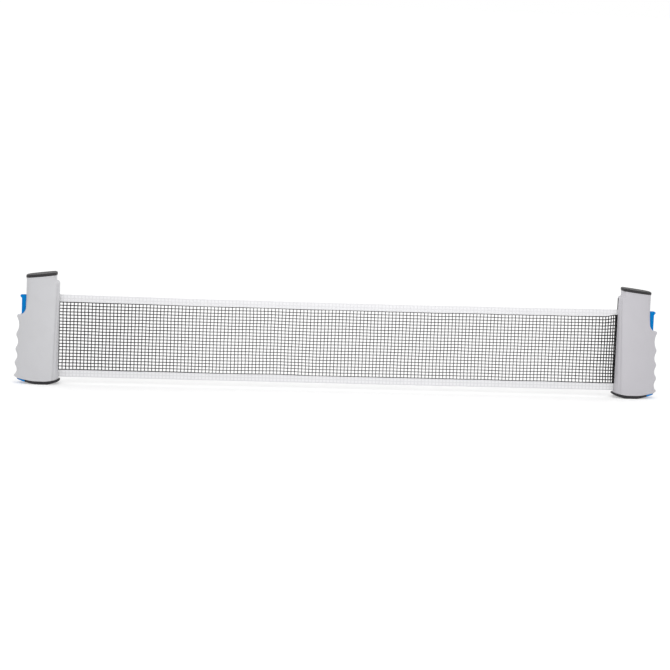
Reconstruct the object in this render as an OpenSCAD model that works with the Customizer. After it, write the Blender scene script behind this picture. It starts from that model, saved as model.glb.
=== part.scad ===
// Retractable table tennis net between two spring clamp posts. Millimetres, +Z up, net along X.
// The posts are one design, mirrored. In a post's own frame x runs from the housing's outer face
// towards the net, y = 0 is the plane where front and back shell meet, and z = 0 is the underside
// of the closed lower jaw. The front shell is on the -Y side.

/* [Net] */
// net seen between the two slot noses, at rest
net_visible = 990; // [400:10:1700]
// height of the net with its two tapes
net_h = 146; // [138:1:152]
// height of each white tape
tape_h = 12.5; // [9:0.5:16]
// thickness of a tape, folded over the mesh
tape_t = 0.9; // [0.5:0.1:1.4]
// thickness of the mesh
mesh_t = 0.5; // [0.3:0.1:1]
// width of a mesh thread
thread_w = 1.2; // [0.6:0.1:2]
// openings of the simplified mesh, along and up
mesh_cols = 48; // [20:1:48]
mesh_rows = 6; // [3:1:6]

/* [Housing] */
// width of the housing above the grip
housing_w = 53; // [49:0.5:58]
// how far the slot nose stands out from the housing
nose_reach = 5.5; // [4:0.5:7]
// half of the depth at the foot
half_depth = 22; // [20.5:0.5:25]
// how much each face leans in over the height
lean_in = 5.5; // [3:0.5:6]
// how far the rim's outer end stands over the net
rim_over = 28.5; // [25:0.5:37]
// how much higher the rim is at the inner end
rim_rise = 6.5; // [4:0.5:9]
// wall of the shells
wall = 2.2; // [1.8:0.1:2.6]
// width of the net slot
slot_w = 5; // [1.8:0.1:7]
// corner radius of the housing's outer end, in plan
end_corner = 12; // [9:0.5:13]

/* [Grip] */
// reach of the lowest finger ridge from the housing's outer face
grip_reach = 19; // [17:0.5:21]
// height of the lowest ridge
ridge_low_z = 11; // [10.5:0.25:12]
// height from ridge to ridge
finger_pitch = 24; // [22:0.5:25]
// height of the tip under the notch over the lowest ridge
tip_rise = 106.5; // [103:0.5:110]
// how far the foot's two ends curve up
toe_rise = 3.7; // [2:0.1:4.2]
// radius of the notch above the grip
notch_r = 14; // [13:0.5:15]

/* [Clamp] */
// thickest table that the jaws take
travel = 28; // [20:1:30]
// thickness of the lower jaw
jaw_t = 4.9; // [4:0.1:6]
// reach of the lower jaw from the housing's outer face
jaw_reach = 62; // [60.5:0.5:64]
// inner side of the slider's stem from the housing's outer face
stem_in = 4.7; // [4:0.1:5.4]
// stem of the slider along x
stem_x = 12.2; // [11.5:0.1:13]
// stem of the slider along y
stem_y = 10; // [9.5:0.5:12]
// height of the thumb ledge above the notch floor
ledge_rise = 35.5; // [32:0.5:38]
// how far the thumb lip stands out from the stem
lip_reach = 2.8; // [2:0.2:4]
// running clearance of the slider
run = 0.3; // [0.2:0.05:0.5]
// seat clearance of fitted pieces
seat = 0.05; // [0.03:0.01:0.1]

/* [Springs] */
// clamp spring: outer diameter, wire and turns
cs_d = 8; // [7:0.25:8.5]
cs_wire = 1.2; // [0.9:0.1:1.4]
cs_turns = 10; // [7:1:12]
// clamp spring: height of its seat and its length
spring_z0 = 58; // [52:1:62]
spring_l = 52; // [47:1:54]
// reel spring: mean diameter, wire, turns and pitch
rs_mean_d = 7.3; // [7:0.1:7.6]
rs_wire = 0.8; // [0.6:0.1:0.9]
rs_turns = 26; // [10:1:30]
rs_pitch = 4; // [2:0.25:4.5]

/* [Reel] */
// fixed shaft of the reel
shaft_d = 5; // [4:0.1:5.2]
// core tube: outer diameter and wall
core_d = 13; // [12.5:0.25:15]
core_wall = 1.7; // [1.2:0.1:1.7]
// turns of net on the core, at rest
roll_d = 22.8; // [20:0.4:26.4]
// flanges at the ends of the roll
flange_d = 29.4; // [27:0.2:29.6]
flange_t = 1; // [0.8:0.1:1.4]
// rod that holds the net's end
rod_d = 4; // [3:0.25:5]

/* [Screws] */
// thread diameter, head diameter and length under the head
screw_d = 3; // [2.5:0.1:3.5]
head_d = 5.6; // [5:0.1:6]
screw_l = 16; // [12:1:18]

/* [Hidden] */
$fn = 96;

grey = [0.80, 0.80, 0.82];
black = [0.12, 0.12, 0.13];
blue = [0.0, 0.45, 0.78];
steel = [0.66, 0.67, 0.69];
white = [0.93, 0.93, 0.93];

far = 150;                              // past the post on every side
high = 300;                             // past its top

// heights
pad_t = 2;                              // base pad: thickness, outer end and length
pad_x = 13;
pad_l = 0.6 * jaw_reach - pad_x;
pad_z = jaw_t + 0.2;                    // its underside, just clear of the closed jaw
sole_z = pad_z + 0.3;                   // underside of the shells
floor_t = 1.9;                          // floor above the pad
foot_h = 2.6;                           // height of the proud foot
floor_z = pad_z + pad_t + floor_t;      // inside of the floor
boss_h = 1.2;                           // raised ring that carries the reel
net_z0 = floor_z + boss_h + 0.1 + flange_t + 0.2;
net_z1 = net_z0 + net_h;
ring_z = net_z1 + 0.2 + flange_t + 0.2; // underside of the upper ring
shelf_z = ring_z + boss_h;              // upper shelf
shelf_t = 3.5;
slot_z0 = floor_z + 0.4;
nose_z = net_z1 + 24.5;                 // top of the nose
slot_z1 = nose_z - 4;
rim_outer_z = net_z1 + rim_over;
rim_inner_z = rim_outer_z + rim_rise;
rim_tilt = atan(rim_rise / housing_w);
cap_t = 5;

// rise of the sole over its flat middle, from the outer end to the inner: x, rise
sole = [[-grip_reach + 5, toe_rise], [2, 0.43 * toe_rise], [14, 0], [0.6 * jaw_reach, 0],
  [0.82 * jaw_reach, 0.46 * toe_rise], [jaw_reach, 0.97 * toe_rise]];
// the same for the underside of the jaw
keel = [[-grip_reach + 5, jaw_t + 0.76 * toe_rise], [-8, 0.57 * toe_rise + 3.4],
  [2, 0.84 * toe_rise], [12, 0.27 * toe_rise], [19, 0], [41, 0],
  [0.84 * jaw_reach, 0.78 * toe_rise], [jaw_reach - 4, 1.27 * toe_rise],
  [jaw_reach + 1, 1.8 * toe_rise]];

// plan of a post
nose_x = housing_w + nose_reach;
face_x = 0.566 * housing_w;             // where the faces are deepest
face_r = 3.573 * half_depth;            // radius of the faces
nose_r = 25;                            // round of the inner end at the nose
top_r = 34.6;                           // flatter round above the nose
crease_x = nose_x - 10;
grip_end_r = 9.2;
lean = atan(lean_in / 190);
corner_x = end_corner - 0.2;
corner_y = sqrt(pow(face_r - end_corner + 0.15, 2) - pow(face_x - corner_x, 2))
  - face_r + half_depth;

// finger ridges: centre x, centre z, radius, from the tip under the notch down to the foot
low = ridge_low_z;
ridges = [
  [-grip_reach + 6, low + tip_rise, 2.5],
  [-grip_reach + 9.8, low + 26 + 2 * finger_pitch, 7],
  [-grip_reach + 9, low + 2 * finger_pitch, 7],
  [-grip_reach + 8, low + finger_pitch, 7],
  [-grip_reach + 5, low, 5]
];
groove_r = [28, 17, 14, 13];
notch_z = ridges[0][1] + ridges[0][2] + notch_r;
rib_top = notch_z - notch_r - 9;        // inner ribs beside the slider
guide_top = notch_z + 16;

// clamp
stem_out = stem_in - stem_x;
stem_mid = (stem_in + stem_out) / 2;
rail = 1.7;                             // rails beside the spring window
ledge_z = notch_z - notch_r + ledge_rise;
window_z1 = spring_z0 + spring_l;
spring_shelf_t = 4;
stub_r = cs_d / 2 - cs_wire - 0.4;
root_end = -grip_reach + 6;             // outer end of the jaw's root
boot_x = 0.5;                           // where the boot begins
boot_wall = 1;                          // rubber around the tongue
tongue_end = jaw_reach - 6;

// reel and anchor
reel_x = 31;
roll_r = roll_d / 2;
core_r = core_d / 2;
bore_r = core_r - core_wall;
turn_x = nose_x - 4.5;                  // where the net turns towards the roll
rod_x = nose_x - 11;
hem_t = 0.7;
hem_end = rod_x + rod_d / 2 + 3;        // end of the hem's flat tail
post_x = net_visible / 2 + nose_x;      // from the middle of the net to a post's own x = 0
net_end = 2 * post_x - hem_end - 0.3;   // right end of the net in the left post's frame

// screws: x, z
screws = [[10.8, 40], [10.8, 120], [30, nose_z - 6]];
screw_seat = 7;
screw_boss = 4.3;

// ---------- plan shapes of a post, each drawn e inside the outer surface ----------

// the two bowed faces
module faces(e) intersection() {
  translate([face_x, face_r - half_depth]) circle(r = face_r - e, $fn = 240);
  translate([face_x, half_depth - face_r]) circle(r = face_r - e, $fn = 240);
}

// grip at the outer end, round nose at the inner end
module grip_plan(e) intersection() {
  faces(e);
  union() {
    translate([-grip_reach - 0.5 + grip_end_r, 0]) circle(r = grip_end_r - e);
    translate([-grip_reach + 4, -far]) square(2 * far);
  }
  union() {
    translate([nose_x - nose_r, 0]) circle(r = nose_r - e, $fn = 120);
    translate([-far, -far]) square([far + crease_x, 2 * far]);
  }
}

// outline of the housing above the grip and the nose, without the faces
module upper_outline(e) intersection() {
  translate([housing_w - top_r, 0]) circle(r = top_r - e, $fn = 120);
  translate([e, -far]) square(2 * far);
  union() {
    translate([corner_x - 3.2, -far]) square(2 * far);
    translate([-end_corner, -corner_y]) square([4 * end_corner, 2 * corner_y]);
    translate([corner_x, -corner_y]) circle(r = end_corner - e);
    translate([corner_x, corner_y]) circle(r = end_corner - e);
  }
}

module upper_plan(e) intersection() {
  faces(e);
  upper_outline(e);
}

// foot and lower jaw
module foot_plan(e, x0) intersection() {
  faces(e);
  translate([x0, -far]) square(2 * far);
  union() {
    translate([jaw_reach - 26, 0]) circle(r = 26 - e, $fn = 120);
    translate([-far, -far]) square([far + jaw_reach - 12, 2 * far]);
  }
}

// ---------- side view of the grip and nose (x, z) ----------

// centre of the groove between ridges i and i + 1, tangent to both
function along(i) = [ridges[i + 1][0] - ridges[i][0], ridges[i + 1][1] - ridges[i][1]];
function groove(i) =
  let (v = along(i), d = norm(v), u = v / d,
       r0 = ridges[i][2] + groove_r[i], r1 = ridges[i + 1][2] + groove_r[i],
       t = (r0 * r0 - r1 * r1 + d * d) / (2 * d), h = sqrt(r0 * r0 - t * t))
  [ridges[i][0] + t * u[0] + h * u[1], ridges[i][1] + t * u[1] - h * u[0]];
// where ridge k meets groove i
function meet(k, i, e) =
  let (c = [ridges[k][0], ridges[k][1]], v = groove(i) - c)
  c + v / norm(v) * (ridges[k][2] - e);

module side_view(e) difference() {
  union() {
    polygon(concat(
      [[ridges[0][0], ridges[0][1] + ridges[0][2] - e]],
      [for (i = [0:3], k = [0, 1]) meet(i + k, i, e)],
      [[ridges[4][0], ridges[4][1] - ridges[4][2] - 3], [far, -5], [far, nose_z - 4.8],
       [nose_x - 4.6, nose_z - 4.8], [nose_x - 12, nose_z - 4.8], [30, notch_z + 22],
       [9.5 + e, notch_z + 18], [e, notch_z], [-notch_r, notch_z]]));
    translate([nose_x - 22, nose_z - 14]) square([17.4, 14 - e]);
    translate([nose_x - 4.6, nose_z - 5]) circle(r = 5 - e);
    for (r = ridges) translate([r[0], r[1]]) circle(r = r[2] - e);
  }
  translate([-notch_r, notch_z]) circle(r = notch_r + e);
  for (i = [0:3]) translate(groove(i)) circle(r = groove_r[i] + 0.06 + e);
}

// ---------- solids ----------

// a side view made into a solid across the post
module upright() translate([0, far, 0]) rotate([90, 0, 0]) linear_extrude(2 * far) children();

// half of a post, side -1 = front, 1 = back; children are a plan, leaning in with the height
module half(side) intersection() {
  rotate([side * lean, 0, 0]) translate([0, 0, -8]) linear_extrude(high) children();
  reach(side, -far, far, 0, -far, high);
}

// everything under the slanting rim, moved up by h
module under_rim(h) translate([0, 0, rim_outer_z + h]) rotate([0, -rim_tilt, 0])
  block(-far, 2 * far, -far, far, -high, 0);

// everything above the sole, which curves up towards both ends
module above_sole(h) upright() polygon(concat(
  [[-far, high], [-far, sole_z + h + 4 * toe_rise]],
  [for (s = sole) [s[0], sole_z + h + s[1]]],
  [[far, sole_z + h + 4 * toe_rise], [far, high]]));

// outer form of a half post, e inside its surface
module form(side, e) intersection() {
  half(side) grip_plan(e);
  union() {
    upright() side_view(e);
    half(side) upper_outline(e);
  }
  under_rim(0);
}

module block(x0, x1, y0, y1, z0, z1) translate([x0, y0, z0]) cube([x1 - x0, y1 - y0, z1 - z0]);

// from y = a to the far side of the half, on the given side
module reach(side, x0, x1, a, z0, z1)
  block(x0, x1, side < 0 ? -far : a, side < 0 ? -a : far, z0, z1);

module shell(side, has_reel) difference() {
  union() {
    difference() {
      union() {
        intersection() {
          form(side, 0);
          above_sole(0);
        }
        // foot that stands a little proud of the faces
        intersection() {
          linear_extrude(notch_z) foot_plan(-0.6, -9);
          difference() {
            above_sole(0);
            above_sole(foot_h);
          }
          reach(side, -far, far, 0, 0, notch_z);
        }
      }
      intersection() {
        half(side) grip_plan(wall);
        union() {
          upright() side_view(wall);
          half(side) upper_outline(wall);
        }
        block(-far, far, -far, far, floor_z, high);
        above_sole(wall);
      }
    }
    // bead under the cap
    intersection() {
      half(side) upper_plan(-0.35);
      difference() {
        under_rim(0);
        under_rim(-2.4);
      }
      difference() {
        block(-far, far, -far, far, notch_z, high);
        half(side) upper_plan(wall);
      }
    }
    // inner ribs, shelves and bosses, let into the wall
    intersection() {
      form(side, 1);
      above_sole(1);
      union() {
        reach(side, stem_out - 1.5, stem_out - run, 0, floor_z - 0.5, rib_top);
        reach(side, stem_in + run, stem_in + run + 1.2, 0, floor_z - 0.5, guide_top);
        reach(side, stem_out + 0.4, stem_out + 1.4, stem_y / 2 + 0.15, floor_z - 0.5, rib_top);
        reach(side, stem_in - 1.4, stem_in - 0.4, stem_y / 2 + 0.15, floor_z - 0.5, rib_top);
        reach(side, stem_out + rail + run, stem_in - rail - run, 0,
          spring_z0 - spring_shelf_t, spring_z0);
        reach(side, 16, has_reel ? 46 : rod_x + 5, 0, shelf_z, shelf_z + shelf_t);
        for (s = screws) translate([s[0], 0, s[1]])
          rotate([side < 0 ? 90 : -90, 0, 0]) cylinder(r = screw_boss, h = far);
      }
    }
    intersection() {
      reach(side, -far, far, 0, 0, high);
      union() {
        translate([stem_mid, 0, spring_z0 - 1]) cylinder(r = stub_r, h = 6);
        translate([has_reel ? reel_x : rod_x, 0, floor_z - 0.5])
          cylinder(r = shaft_d / 2 + 2, h = boss_h + 0.5);
        translate([has_reel ? reel_x : rod_x, 0, ring_z])
          cylinder(r = shaft_d / 2 + 2, h = boss_h + 0.5);
      }
    }
  }
  // net slot
  block(nose_x - 6, nose_x + 5, -slot_w / 2, slot_w / 2, slot_z0, slot_z1);
  // way of the slider through the notch and through the floor
  block(stem_out - run, stem_in + run, -stem_y / 2 - run, stem_y / 2 + run,
    notch_z - notch_r - 10, ledge_z + 2.5);
  block(stem_out - run, stem_in + run, -stem_y / 2 - run, stem_y / 2 + run, -5, floor_z + toe_rise);
  // pocket of the base pad
  translate([0, 0, pad_z - 3]) linear_extrude(pad_t + 3) intersection() {
    faces(3.5);
    translate([pad_x, -far]) square([pad_l, 2 * far]);
  }
  // seats of the reel shaft or of the anchor rod
  translate([has_reel ? reel_x : rod_x, 0, floor_z - 1])
    cylinder(d = (has_reel ? shaft_d : rod_d) + 2 * seat, h = 5);
  translate([has_reel ? reel_x : rod_x, 0, ring_z - 1])
    cylinder(d = (has_reel ? shaft_d : rod_d) + 2 * seat, h = 10);
  // screw holes, sunk from the back
  for (s = screws) translate([s[0], 0, s[1]]) rotate([-90, 0, 0]) {
    translate([0, 0, screw_seat - screw_l - 1]) cylinder(d = screw_d + 2 * seat, h = screw_l + 5);
    translate([0, 0, screw_seat]) cylinder(d = head_d + 0.8, h = far);
  }
}

// plan of the housing at its rim, both halves
module rim_plan(e) {
  shift = (rim_outer_z + rim_inner_z) / 2 * tan(lean);
  intersection() {
    translate([0, shift]) upper_plan(e);
    translate([-far, -far]) square([2 * far, far]);
  }
  intersection() {
    translate([0, -shift]) upper_plan(e);
    translate([-far, 0]) square([2 * far, far]);
  }
}

module top_cap() color(black) {
  intersection() {
    linear_extrude(high) rim_plan(-0.9);
    difference() {
      under_rim(cap_t);
      under_rim(0.02);
    }
  }
  // skirt that plugs into the rim
  intersection() {
    linear_extrude(high) difference() {
      rim_plan(wall + 0.12);
      rim_plan(wall + 1.7);
    }
    difference() {
      under_rim(1);
      under_rim(-5);
    }
  }
}

module base_pad() color(black) translate([0, 0, pad_z]) linear_extrude(pad_t) intersection() {
  faces(3.5 + 2 * seat);
  translate([pad_x + 2 * seat, -far]) square([pad_l - 4 * seat, 2 * far]);
}

module post_screws() color(steel) for (s = screws) translate([s[0], 0, s[1]])
  rotate([-90, 0, 0]) difference() {
    union() {
      translate([0, 0, screw_seat - screw_l]) cylinder(d = screw_d, h = screw_l + 0.5);
      translate([0, 0, screw_seat]) cylinder(d = head_d, h = 2);
    }
    translate([-head_d, -0.4, screw_seat + 1.1]) cube([2 * head_d, 0.8, 3]);
    translate([-0.4, -head_d, screw_seat + 1.1]) cube([0.8, 2 * head_d, 3]);
  }

// lower jaw, e inside its surface, from x0 on; its tips are thin and rise with the sole
module jaw(e, x0) intersection() {
  linear_extrude(notch_z) foot_plan(e - 0.4, x0);
  upright() polygon(concat(
    [[-grip_reach - 5, jaw_t + 1.6 * toe_rise - e]],
    [for (s = sole) [s[0], jaw_t + s[1] - e]],
    [[jaw_reach + 2, jaw_t + 1.1 * toe_rise - e]],
    [for (i = [len(keel) - 1:-1:0]) [keel[i][0], keel[i][1] + e]],
    [[-grip_reach - 5, jaw_t + 1.2 * toe_rise + e]]));
}

module clamp_slider() color(blue) {
  difference() {
    union() {
      // stem with thumb ledge
      translate([0, stem_y / 2, 0]) rotate([90, 0, 0]) linear_extrude(stem_y) polygon([
        [stem_out, jaw_t + 0.4 * toe_rise], [stem_out, ledge_z - 5.5], [stem_out - lip_reach, ledge_z - 2.6],
        [stem_out - lip_reach, ledge_z - 0.9], [stem_out - lip_reach + 0.9, ledge_z - 0.2],
        [stem_out + 3, ledge_z], [stem_in, ledge_z], [stem_in, jaw_t - 1]]);
      // root under the grip
      intersection() {
        jaw(0, root_end);
        block(-far, boot_x, -far, far, -1, notch_z);
      }
      // tongue inside the boot
      intersection() {
        jaw(boot_wall, -8);
        block(boot_x - 1, tongue_end, -far, far, -1, notch_z);
      }
    }
    // spring window
    difference() {
      block(stem_out + rail, stem_in - rail, -stem_y, stem_y,
        spring_z0 - spring_shelf_t - 0.3, window_z1);
      translate([stem_mid, 0, window_z1 - 5]) cylinder(r = stub_r, h = 6);
    }
  }
}

module jaw_boot() color(black) difference() {
  intersection() {
    jaw(0, -8);
    block(boot_x + seat, far, -far, far, -1, notch_z);
  }
  intersection() {
    jaw(boot_wall - seat, -8);
    block(boot_x - 2, tongue_end + seat, -far, far, -1, notch_z);
  }
  // way for the stem above the tongue
  block(-far, stem_in + 2 * seat, -stem_y / 2 - 2 * seat, stem_y / 2 + 2 * seat,
    jaw_t + 0.1, notch_z);
}

// one unbroken tube wound as a coil about z, starting at z = wire / 2
module coil(mean_r, wire, turns, pitch) {
  rings = 8 * turns;
  sides = 6;
  tilt = atan(pitch / (2 * PI * mean_r));
  function at(i, s) =
    let (a = 45 * i, b = 360 * s / sides, r = mean_r + wire / 2 * cos(b),
         up = wire / 2 * sin(b))
    [r * cos(a) + up * sin(tilt) * sin(a), r * sin(a) - up * sin(tilt) * cos(a),
     wire / 2 + pitch * i / 8 + up * cos(tilt)];
  polyhedron(
    points = [for (i = [0:rings], s = [0:sides - 1]) at(i, s)],
    faces = concat(
      [[for (s = [0:sides - 1]) s]],
      [for (i = [0:rings - 1], s = [0:sides - 1]) each [
        [i * sides + s, (i + 1) * sides + s, (i + 1) * sides + (s + 1) % sides],
        [i * sides + s, (i + 1) * sides + (s + 1) % sides, i * sides + (s + 1) % sides]]],
      [[for (s = [sides - 1:-1:0]) rings * sides + s]]));
}

cs_pitch = (spring_l - cs_wire - 0.2) / cs_turns;
echo(clamp_spring_least_gap_mm = cs_pitch * cos(atan(cs_pitch / (PI * (cs_d - cs_wire)))) - cs_wire);
echo(reel_spring_least_gap_mm = rs_pitch * cos(atan(rs_pitch / (PI * rs_mean_d))) - rs_wire);

module clamp_spring() color(steel) translate([stem_mid, 0, spring_z0 + 0.1])
  coil((cs_d - cs_wire) / 2, cs_wire, cs_turns, cs_pitch);

// the net's way in plan: from its end, through the slot, to the roll on the front side
module net_plan(t) {
  r = roll_r + 0.3 + t / 2;
  a = acos(r / (turn_x - reel_x));
  touch = [reel_x + r * cos(a), -r * sin(a)];
  n = [sin(90 - a), -cos(90 - a)] * t / 2;
  k = t / 2 * tan((90 - a) / 2);
  polygon([touch + n, [turn_x + k, -t / 2], [net_end, -t / 2], [net_end, t / 2],
    [turn_x - k, t / 2], touch - n]);
}

module mesh_sheet() color(black) difference() {
  translate([0, 0, net_z0 + tape_h]) linear_extrude(net_h - 2 * tape_h) net_plan(mesh_t);
  cw = net_visible / mesh_cols;
  ch = (net_h - 2 * tape_h) / mesh_rows;
  for (i = [0:mesh_cols - 1], j = [0:mesh_rows - 1])
    block(nose_x + cw * i + thread_w / 2, nose_x + cw * (i + 1) - thread_w / 2, -2, 2,
      net_z0 + tape_h + ch * j + thread_w / 2, net_z0 + tape_h + ch * (j + 1) - thread_w / 2);
}

module at_left() translate([-post_x, 0, 0]) children();
module at_right() mirror([1, 0, 0]) translate([-post_x, 0, 0]) children();

// ---------- nodes ----------

module left_front_shell() at_left() color(grey) shell(-1, true);
module left_back_shell() at_left() color(grey) shell(1, true);
module left_top_cap() at_left() top_cap();
module left_base_pad() at_left() base_pad();
module left_screws() at_left() post_screws();
module left_clamp_slider() at_left() clamp_slider();
module left_jaw_boot() at_left() jaw_boot();
module left_clamp_spring() at_left() clamp_spring();

module reel_shaft() at_left() color(steel) difference() {
  translate([reel_x, 0, floor_z - 0.9]) cylinder(d = shaft_d, h = shelf_z + shelf_t - floor_z + 3);
  block(reel_x + shaft_d / 2 - 0.9, reel_x + 5, -5, 5, shelf_z + shelf_t + 0.1, high);
}

module reel_core() at_left() color(grey) translate([reel_x, 0, net_z0 - 0.2]) difference() {
  cylinder(r = core_r, h = net_h + 0.4);
  translate([0, 0, -1]) cylinder(r = bore_r, h = net_h + 3);
}

module bush() difference() {
  union() {
    cylinder(d = flange_d, h = flange_t);
    cylinder(r = bore_r - seat, h = flange_t + 6);
  }
  translate([0, 0, -1]) cylinder(d = shaft_d + 2 * seat, h = 10);
}

module reel_bushes() at_left() color(black) {
  translate([reel_x, 0, net_z0 - 0.2 - flange_t]) bush();
  translate([reel_x, 0, net_z1 + 0.2 + flange_t]) mirror([0, 0, 1]) bush();
}

module reel_spring() at_left() color(steel) translate([reel_x, 0, net_z0 + 6.1])
  coil(rs_mean_d / 2, rs_wire, rs_turns, rs_pitch);

module net_roll() at_left() color(black) translate([reel_x, 0, net_z0]) difference() {
  cylinder(r = roll_r, h = net_h);
  translate([0, 0, -1]) cylinder(r = core_r + seat, h = net_h + 2);
}

module net_mesh() at_left() mesh_sheet();
module net_top_tape() at_left() color(white) translate([0, 0, net_z1 - tape_h])
  linear_extrude(tape_h) net_plan(tape_t);
module net_bottom_tape() at_left() color(white) translate([0, 0, net_z0])
  linear_extrude(tape_h) net_plan(tape_t);

module right_front_shell() at_right() color(grey) shell(-1, false);
module right_back_shell() at_right() color(grey) shell(1, false);
module right_top_cap() at_right() top_cap();
module right_base_pad() at_right() base_pad();
module right_screws() at_right() post_screws();
module right_clamp_slider() at_right() clamp_slider();
module right_jaw_boot() at_right() jaw_boot();
module right_clamp_spring() at_right() clamp_spring();

module net_anchor_rod() at_right() color(steel) translate([rod_x, 0, floor_z - 0.9])
  cylinder(d = rod_d, h = shelf_z + shelf_t - floor_z + 2);

module net_end_hem() at_right() color(white) translate([0, 0, net_z0]) linear_extrude(net_h)
  difference() {
    union() {
      translate([rod_x, 0]) circle(r = rod_d / 2 + seat + hem_t);
      translate([rod_x, -tape_t / 2]) square([hem_end - rod_x, tape_t]);
    }
    translate([rod_x, 0]) circle(r = rod_d / 2 + seat);
  }

left_front_shell();
left_back_shell();
left_top_cap();
left_base_pad();
left_screws();
left_clamp_slider();
left_jaw_boot();
left_clamp_spring();
reel_shaft();
reel_core();
reel_bushes();
reel_spring();
net_roll();
net_mesh();
net_top_tape();
net_bottom_tape();
right_front_shell();
right_back_shell();
right_top_cap();
right_base_pad();
right_screws();
right_clamp_slider();
right_jaw_boot();
right_clamp_spring();
net_anchor_rod();
net_end_hem();
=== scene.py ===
import math

import bpy
import numpy as np
from mathutils import Matrix, Vector


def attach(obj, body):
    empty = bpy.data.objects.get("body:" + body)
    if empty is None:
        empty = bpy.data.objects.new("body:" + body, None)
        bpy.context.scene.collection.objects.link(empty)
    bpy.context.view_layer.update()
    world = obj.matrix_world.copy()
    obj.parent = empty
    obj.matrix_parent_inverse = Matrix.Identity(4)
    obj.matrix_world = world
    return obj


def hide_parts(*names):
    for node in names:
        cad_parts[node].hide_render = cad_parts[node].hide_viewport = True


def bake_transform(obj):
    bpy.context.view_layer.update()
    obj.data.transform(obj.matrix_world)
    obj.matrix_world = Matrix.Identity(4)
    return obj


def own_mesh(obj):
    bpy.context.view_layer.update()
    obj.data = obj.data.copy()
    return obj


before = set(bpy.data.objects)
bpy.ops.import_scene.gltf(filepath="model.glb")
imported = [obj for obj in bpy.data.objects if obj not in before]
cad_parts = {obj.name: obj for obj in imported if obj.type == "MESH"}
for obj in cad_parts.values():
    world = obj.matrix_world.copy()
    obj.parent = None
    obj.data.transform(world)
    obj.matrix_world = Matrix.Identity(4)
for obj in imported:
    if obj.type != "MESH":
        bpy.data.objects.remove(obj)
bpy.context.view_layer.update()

scene = bpy.context.scene
scene.view_settings.view_transform = "Standard"


# ---------- Camera ----------
# A long lens from a little above and a little left of the middle. The frame hangs slightly
# clockwise, so the net runs downhill to the right. Sizes are in millimetres from here on and
# become metres where a mesh is made.
MM = 0.001
AIM = Vector((-9.3, 0.0, 98.2)) * MM
AZIMUTH, ELEVATION, ROLL = (math.radians(a) for a in (-5.23, 8.0, 2.23))
DISTANCE = 4.5
PIXELS_PER_METRE = 564.6
FRAME_PIXELS = 670

away = Vector((math.sin(AZIMUTH) * math.cos(ELEVATION),
               -math.cos(AZIMUTH) * math.cos(ELEVATION), math.sin(ELEVATION)))
across = (-away).cross(Vector((0, 0, 1))).normalized()
upward = across.cross(-away)
rolled_across = across * math.cos(ROLL) + upward * math.sin(ROLL)
rolled_upward = upward * math.cos(ROLL) - across * math.sin(ROLL)
lens = bpy.data.cameras.new("camera")
lens.sensor_width = 36
lens.lens = PIXELS_PER_METRE * DISTANCE * lens.sensor_width / FRAME_PIXELS
lens.clip_end = 100
camera = bpy.data.objects.new("camera", lens)
scene.collection.objects.link(camera)
camera.matrix_world = (Matrix.Translation(AIM + away * DISTANCE)
                       @ Matrix((rolled_across, rolled_upward, away)).transposed().to_4x4())
scene.camera = camera


# ---------- Light and floor ----------
# An even white surround, one large soft lamp over the middle in front, and a white floor just
# under the jaws that keeps the shadow.
SURROUND = 0.99
LAMP_PLACE, LAMP_AIM = Vector((0.06, -0.8, 0.4)), Vector((0, 0, 0.09))
LAMP_SIZE, LAMP_WATTS = 0.6, 1.6
FLOOR_HALF, FLOOR_DROP = 60.0, 0.0002
FLOOR_GREY, FLOOR_LIFT = 0.7, 0.37


def node(tree, kind, given=None, **settings):
    """A shader node; what it is given are plain values or other nodes' outputs."""
    made = tree.nodes.new("ShaderNode" + kind)
    for name, value in settings.items():
        setattr(made, name, value)
    for socket, value in (given or {}).items():
        if isinstance(value, bpy.types.NodeSocket):
            tree.links.new(value, made.inputs[socket])
        else:
            made.inputs[socket].default_value = value
    return made


def maths(tree, operation, *values):
    return node(tree, "Math", dict(enumerate(values)), operation=operation).outputs[0]


def shown_directly(tree):
    """1 where the camera, a reflection or a view through glass sees the surface, else 0."""
    path = node(tree, "LightPath").outputs
    seen = path["Is Camera Ray"]
    for ray in ("Is Glossy Ray", "Is Transmission Ray"):
        seen = maths(tree, "MAXIMUM", seen, path[ray])
    return seen


world = bpy.data.worlds.new("surround")
world.use_nodes = True
scene.world = world
tree = world.node_tree
backdrop = tree.nodes["Background"]
backdrop.inputs["Color"].default_value = (1, 1, 1, 1)
strength = node(tree, "MapRange",
                {"Value": shown_directly(tree), "To Min": SURROUND, "To Max": 1.0})
tree.links.new(strength.outputs["Result"], backdrop.inputs["Strength"])

lamp_data = bpy.data.lights.new("soft lamp", "AREA")
lamp_data.shape = "DISK"
lamp_data.size = LAMP_SIZE
lamp_data.energy = LAMP_WATTS
lamp = bpy.data.objects.new("soft lamp", lamp_data)
scene.collection.objects.link(lamp)
lamp.matrix_world = (Matrix.Translation(LAMP_PLACE)
                     @ (LAMP_PLACE - LAMP_AIM).to_track_quat("Z", "Y").to_matrix().to_4x4())

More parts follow.
